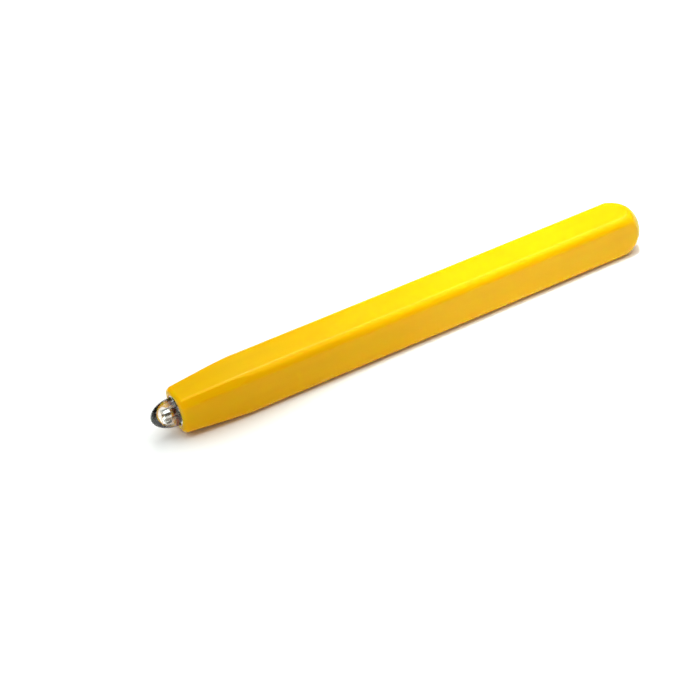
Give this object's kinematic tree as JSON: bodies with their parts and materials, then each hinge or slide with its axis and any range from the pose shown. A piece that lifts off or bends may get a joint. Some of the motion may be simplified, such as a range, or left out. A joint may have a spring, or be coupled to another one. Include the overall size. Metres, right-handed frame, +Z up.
{
  "type": "counterfeit detector pen",
  "caption": "Square yellow pen torch with a tapered nose, a clear bullet ultraviolet LED, a pull-out tail plug and a sprung tail button.",
  "frame": {"origin": "under the middle of the pen's length and width, on the surface that its flat side lies on", "axes": "+X along the pen from the LED to the tail, +Z up, out of the upper flat side"},
  "size_m": [0.1586, 0.0132, 0.0131],
  "materials": {
    "yellow_plastic": "glossy moulded yellow",
    "clear_epoxy": "clear polished epoxy",
    "silver_lead": "silver-plated lead frame",
    "die_grey": "semiconductor die",
    "gold_wire": "gold wire",
    "black_plastic": "matt black moulded",
    "board_green": "solder-masked laminate",
    "ceramic_black": "coated ceramic",
    "tinned_metal": "tinned",
    "brass_contact": "bright stamped brass",
    "spring_steel": "plated spring wire",
    "black_rubber": "smooth rubber",
    "cell_metal": "plated can",
    "nickel_cap": "nickel plate",
    "cell_jacket_film": "plain blue shrink film"
  },
  "bodies": {
    "root": {"barrel": "yellow_plastic", "led_body": "clear_epoxy", "led_cathode": "silver_lead", "led_anode": "silver_lead", "led_die": "die_grey", "bond_wire": "gold_wire", "led_holder": "black_plastic", "led_collar": "tinned_metal", "front_board": "board_green", "chip_resistor": "ceramic_black", "resistor_ends": "tinned_metal", "solder_joints": "tinned_metal", "front_contact": "brass_contact", "contact_strip": "brass_contact", "cell_1_can": "cell_metal", "cell_1_cap": "nickel_cap", "cell_1_seal": "black_plastic", "cell_1_jacket": "cell_jacket_film", "cell_2_can": "cell_metal", "cell_2_cap": "nickel_cap", "cell_2_seal": "black_plastic", "cell_2_jacket": "cell_jacket_film"},
    "plug": {"tail_plug": "yellow_plastic", "plug_o_ring": "black_rubber", "switch_base": "black_plastic", "contact_ring": "brass_contact", "side_clip": "brass_contact", "spring_plate": "brass_contact", "spring_rivet": "brass_contact", "battery_spring": "spring_steel", "return_spring": "spring_steel"},
    "button": {"tail_button": "yellow_plastic", "contact_washer": "brass_contact"}
  },
  "joints": [
    {"name": "tail_plug_pull", "type": "slide", "parent": "root", "child": "plug", "axis": [1, 0, 0], "range_m": [0, 0.024]},
    {"name": "tail_button_press", "type": "slide", "parent": "plug", "child": "button", "axis": [-1, 0, 0], "range_m": [0, 0.0015], "stiffness_N_per_m": 400, "springref_m": -0.001, "deforming": ["return_spring"]}
  ]
}
